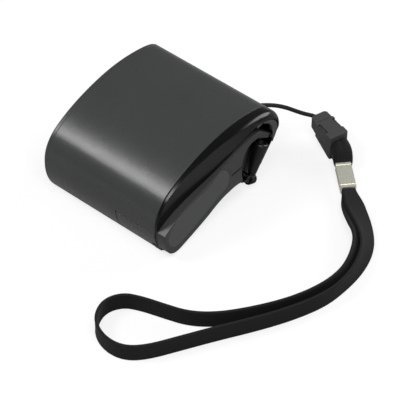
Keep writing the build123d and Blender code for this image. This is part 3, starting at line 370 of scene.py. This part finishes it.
def colour_between(tree, value, low, high, ends=SHARP_ENDS):
    """A colour ramp from low to high."""
    ramp = tree.nodes.new("ShaderNodeValToRGB")
    ramp.color_ramp.elements[0].position = ends[0]
    ramp.color_ramp.elements[1].position = ends[1]
    ramp.color_ramp.elements[0].color = (*low, 1)
    ramp.color_ramp.elements[1].color = (*high, 1)
    tree.links.new(value, ramp.inputs["Fac"])
    return ramp.outputs["Color"]


def bump(tree, shader, value, distance, strength=1.0, edge=0.0):
    """Relief of the given depth in metres, and edges rounded to look at by the given radius."""
    node = tree.nodes.new("ShaderNodeBump")
    if edge:
        rounded = tree.nodes.new("ShaderNodeBevel")
        rounded.samples = 6
        rounded.inputs["Radius"].default_value = edge
        tree.links.new(rounded.outputs["Normal"], node.inputs["Normal"])
    node.inputs["Distance"].default_value = distance
    node.inputs["Strength"].default_value = strength
    tree.links.new(value, node.inputs["Height"])
    tree.links.new(node.outputs["Normal"], shader.inputs["Normal"])


def object_coordinates(tree):
    """Coordinates in metres, fixed to the object."""
    return tree.nodes.new("ShaderNodeTexCoord").outputs["Object"]


EDGE_ROUND = 0.4 * MM
CLOUD_SCALE = 60  # noise scales, in features per metre
SMUDGE_SCALE = 150
GRAIN_SCALE = 5200
BRUSH_SCALE = 2500
BRUSH_DEPTH = 0.000003
FUZZ_SCALE = 2600
RIB_SHARE = 0.25  # the parts of the fabric's relief
ROW_SHARE = 0.45
FUZZ_SHARE = 0.5

def plastic(name, colour, roughness, grain=0.000004, change=0.08, specular=0.4):
    """Moulded plastic: slight colour variation, uneven gloss and a fine moulded grain."""
    made, tree, shader = material(name)
    place = object_coordinates(tree)
    cloud = noise(tree, place, CLOUD_SCALE, 2)
    low = [c * (1 - change) for c in colour]
    high = [c * (1 + change) for c in colour]
    tree.links.new(colour_between(tree, cloud, low, high, SOFT_ENDS), shader.inputs["Base Color"])
    smudges = noise(tree, place, SMUDGE_SCALE, 4)
    gloss = spread(tree, smudges, roughness * 0.88, roughness * 1.12, SOFT_ENDS)
    tree.links.new(gloss, shader.inputs["Roughness"])
    bump(tree, shader, noise(tree, place, GRAIN_SCALE, 2), grain, edge=EDGE_ROUND)
    shader.inputs["Specular IOR Level"].default_value = specular
    return made


def metal(name, colour, roughness, stretch=(1, 1, 1), metallic=1.0):
    """Metal with fine brushed or rolled lines along one axis."""
    made, tree, shader = material(name)
    mapping = tree.nodes.new("ShaderNodeMapping")
    mapping.inputs["Scale"].default_value = stretch
    tree.links.new(object_coordinates(tree), mapping.inputs["Vector"])
    lines = noise(tree, mapping.outputs["Vector"], BRUSH_SCALE, 3)
    darker = [c * 0.9 for c in colour]
    tree.links.new(colour_between(tree, lines, darker, colour), shader.inputs["Base Color"])
    tree.links.new(spread(tree, lines, roughness * 0.8, roughness * 1.25), shader.inputs["Roughness"])
    bump(tree, shader, lines, BRUSH_DEPTH)
    shader.inputs["Metallic"].default_value = metallic
    return made


def wave(tree, coordinates, scale, direction):
    """Stripes across one direction."""
    texture = tree.nodes.new("ShaderNodeTexWave")
    texture.bands_direction = direction
    texture.inputs["Scale"].default_value = scale
    texture.inputs["Distortion"].default_value = 0.4
    texture.inputs["Detail"].default_value = 1.0
    tree.links.new(coordinates, texture.inputs["Vector"])
    return texture.outputs["Fac"]


def math_node(tree, operation, first, second):
    """Two values combined."""
    node = tree.nodes.new("ShaderNodeMath")
    node.operation = operation
    tree.links.new(first, node.inputs[0])
    if isinstance(second, (int, float)):
        node.inputs[1].default_value = second
    else:
        tree.links.new(second, node.inputs[1])
    return node.outputs["Value"]


def woven(name, colour, rib_scale, row_scale, across, depth):
    """Woven fabric on a swept band: fine ribs across it and threads along it, from its UV map. Its colour
    is lighter on the raised threads and darker in the grooves, a painted highlight and painted shade of
    the weave's relief.
    """
    made, tree, shader = material(name)
    uv = tree.nodes.new("ShaderNodeUVMap")
    uv.uv_map = "along"
    mapping = tree.nodes.new("ShaderNodeMapping")
    mapping.inputs["Scale"].default_value = (1, across, 1)
    tree.links.new(uv.outputs["UV"], mapping.inputs["Vector"])
    weave = mapping.outputs["Vector"]
    ribs = math_node(tree, "MULTIPLY", wave(tree, weave, rib_scale, "X"), RIB_SHARE)
    rows = math_node(tree, "MULTIPLY", wave(tree, weave, row_scale, "Y"), ROW_SHARE)
    fuzz_noise = noise(tree, object_coordinates(tree), FUZZ_SCALE, 3)
    fuzz = math_node(tree, "MULTIPLY", fuzz_noise, FUZZ_SHARE)
    relief = math_node(tree, "ADD", math_node(tree, "ADD", ribs, rows), fuzz)
    # painted highlight and painted shade: the colour follows the bump's relief, lighter on the raised
    # threads and fuzz and darker in the grooves between them
    light = [min(1.0, c * 1.9 + 0.002) for c in colour]
    tree.links.new(colour_between(tree, relief, colour, light), shader.inputs["Base Color"])
    shader.inputs["Roughness"].default_value = 0.8
    shader.inputs["Specular IOR Level"].default_value = 0.25
    shader.inputs["Sheen Weight"].default_value = 0.04
    shader.inputs["Sheen Roughness"].default_value = 0.4
    bump(tree, shader, relief, depth)
    return made


shell_plastic = plastic("shell_plastic", (0.037, 0.0385, 0.038), 0.28)
arm_plastic = plastic("arm_plastic", (0.033, 0.0335, 0.034), 0.34, specular=0.3)
inlay_plastic = plastic("inlay_plastic", (0.064, 0.065, 0.066), 0.44, specular=0.3)
gloss_black = plastic("gloss_black", (0.002, 0.002, 0.0022), 0.22, grain=0.000001, specular=0.26)
knob_plastic = plastic("knob_plastic", (0.007, 0.007, 0.0073), 0.28, grain=0.000003, specular=0.35)
matte_black = plastic("matte_black", (0.005, 0.005, 0.0053), 0.48, specular=0.3)
buckle_plastic = plastic("buckle_plastic", (0.042, 0.043, 0.042), 0.45, grain=0.000006, specular=0.3)
gear_plastic = plastic("gear_plastic", (0.72, 0.72, 0.68), 0.45)
board_green = plastic("board_green", (0.02, 0.16, 0.05), 0.3, grain=0.000001)
chip_black = plastic("chip_black", (0.02, 0.02, 0.022), 0.5)
lead_red = plastic("lead_red", (0.30, 0.02, 0.02), 0.4, grain=0.000001)
steel = metal("steel", (0.62, 0.62, 0.63), 0.28)
zinc = metal("zinc", (0.50, 0.50, 0.52), 0.34)
bronze = metal("bronze", (0.60, 0.42, 0.22), 0.4)
copper = metal("copper", (0.80, 0.36, 0.18), 0.35)
ferrite = metal("ferrite", (0.10, 0.10, 0.11), 0.5)
nickel = metal("nickel", (0.95, 0.94, 0.80), 0.32, stretch=(1, 1, 0.2), metallic=0.8)
strap_fabric = woven("strap_fabric", (0.0028, 0.0028, 0.0030), 0.6, 0.5, 24, 0.00004)
webbing_fabric = woven("webbing_fabric", (0.0012, 0.0012, 0.0013), 0.45, 0.5, 17, 0.00012)
string_fabric = woven("string_fabric", (0.0050, 0.0050, 0.0048), 1.2, 0.5, 6, 0.00002)

FINISHES = {
    shell_plastic: ["main_shell", "end_cap", "socket_cover"],
    arm_plastic: ["arm_plate"],
    inlay_plastic: ["arm_inlay", "nose_rim"],
    gloss_black: ["crank_arm"],
    knob_plastic: ["knob_grip"],
    matte_black: ["side_cover", "knob_carrier", "socket_tongue"],
    buckle_plastic: ["buckle_plug", "buckle_socket"],
    gear_plastic: ["drive_gear", "idler_gear_one", "idler_gear_two", "rotor_pinion"],
    board_green: ["circuit_board"],
    chip_black: ["capacitor", "inductor", "regulator_chip", "rectifier_diodes"],
    lead_red: ["generator_leads"],
    steel: [
        "gear_plate", "gear_pins", "rotor_shaft", "cover_hinge_pin", "knob_hinge_pin", "anchor_pin",
        "crank_axle", "generator_can", "generator_back", "socket_shell",
    ],
    zinc: [
        "case_screws", "cap_screws", "gearbox_screws", "board_screws", "generator_screws",
        "crank_screw", "knob_cap",
    ],
    bronze: ["axle_bush", "rotor_bushes", "socket_contacts"],
    copper: ["stator_coil"],
    ferrite: ["rotor_magnet", "stator_core"],
    nickel: ["strap_crimp"],
}
for finish, names in FINISHES.items():
    for name in names:
        mesh = nodes[name].data
        mesh.materials.clear()
        mesh.materials.append(finish)

for piece, finish, slot, body, node in (
    (wrist_string, string_fabric, "string", "housing", "string_cord"),
    (wrist_strap, strap_fabric, "webbing", "housing", "wrist_strap"),
    (webbing, webbing_fabric, "webbing", "housing", "webbing_loop"),
):
    piece.data.materials.clear()
    piece.data.materials.append(finish)
    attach(piece, body)
    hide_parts(node)


# ---------------------------------------------------------------- floor and light
FLOOR_TONE = (0.88, 0.88, 0.88)
FLOOR_BOUNCE = (0.35, 0.35, 0.35)
FLOOR_WHITENED = 0.75  # how much of the floor's picture is plain white
SKY_LEVEL = 0.20


def floor_material():
    """Pale floor that looks white to the camera and keeps a soft shadow."""
    made, tree, shader = material("floor")
    path = tree.nodes.new("ShaderNodeLightPath")
    tone = tree.nodes.new("ShaderNodeMix")
    tone.data_type = "RGBA"
    tone.inputs["A"].default_value = (*FLOOR_BOUNCE, 1)
    tone.inputs["B"].default_value = (*FLOOR_TONE, 1)
    tree.links.new(path.outputs["Is Camera Ray"], tone.inputs["Factor"])
    tree.links.new(tone.outputs["Result"], shader.inputs["Base Color"])
    shader.inputs["Roughness"].default_value = 0.9
    shader.inputs["Specular IOR Level"].default_value = 0.1
    white = tree.nodes.new("ShaderNodeEmission")
    white.inputs["Color"].default_value = (1, 1, 1, 1)
    white.inputs["Strength"].default_value = 1.0
    share = math_node(tree, "MULTIPLY", path.outputs["Is Camera Ray"], FLOOR_WHITENED)
    mix = tree.nodes.new("ShaderNodeMixShader")
    tree.links.new(share, mix.inputs["Fac"])
    tree.links.new(shader.outputs["BSDF"], mix.inputs[1])
    tree.links.new(white.outputs["Emission"], mix.inputs[2])
    tree.links.new(mix.outputs["Shader"], tree.nodes["Material Output"].inputs["Surface"])
    return made


FLOOR_HALF = 3.0
floor_corners = [(FLOOR_HALF * a, FLOOR_HALF * b, 0) for a, b in ((-1, -1), (1, -1), (1, 1), (-1, 1))]
floor_mesh = bpy.data.meshes.new("floor")
floor_mesh.from_pydata(floor_corners, [], [(0, 1, 2, 3)])
floor_mesh.materials.append(floor_material())
floor = bpy.data.objects.new("floor", floor_mesh)
bpy.context.collection.objects.link(floor)


def area_light(name, at, towards, size, power):
    """A soft square lamp. Places and the size are in millimetres, and the power is in watts."""
    lamp = bpy.data.lights.new(name, "AREA")
    lamp.shape = "SQUARE"
    lamp.size = size * MM
    lamp.energy = power
    holder = bpy.data.objects.new(name, lamp)
    bpy.context.collection.objects.link(holder)
    holder.location = Vector(at) * MM
    holder.rotation_euler = (Vector(towards) - Vector(at)).to_track_quat("-Z", "Y").to_euler()


area_light("tail_key", (-330, -330, 570), (-5, -15, 20), 240, 2.4)
area_light("top", (260, -230, 700), (10, 0, 10), 500, 3.9)
area_light("front_fill", (620, -250, 260), (20, 0, 10), 360, 0.9)
area_light("nose_edge", (200, 560, 260), (20, 10, 15), 300, 2.1)

# white to the camera, and dimmer as a light and in reflections
world = bpy.data.worlds.new("world")
bpy.context.scene.world = world
world.use_nodes = True
sky_tree = world.node_tree
sky = sky_tree.nodes["Background"]
sky.inputs["Color"].default_value = (1, 1, 1, 1)
sky_path = sky_tree.nodes.new("ShaderNodeLightPath")
sky_level = sky_tree.nodes.new("ShaderNodeMapRange")
sky_level.inputs["To Min"].default_value = SKY_LEVEL
sky_level.inputs["To Max"].default_value = 1.0
sky_tree.links.new(sky_path.outputs["Is Camera Ray"], sky_level.inputs["Value"])
sky_tree.links.new(sky_level.outputs["Result"], sky.inputs["Strength"])

bpy.context.scene.view_settings.view_transform = "Standard"
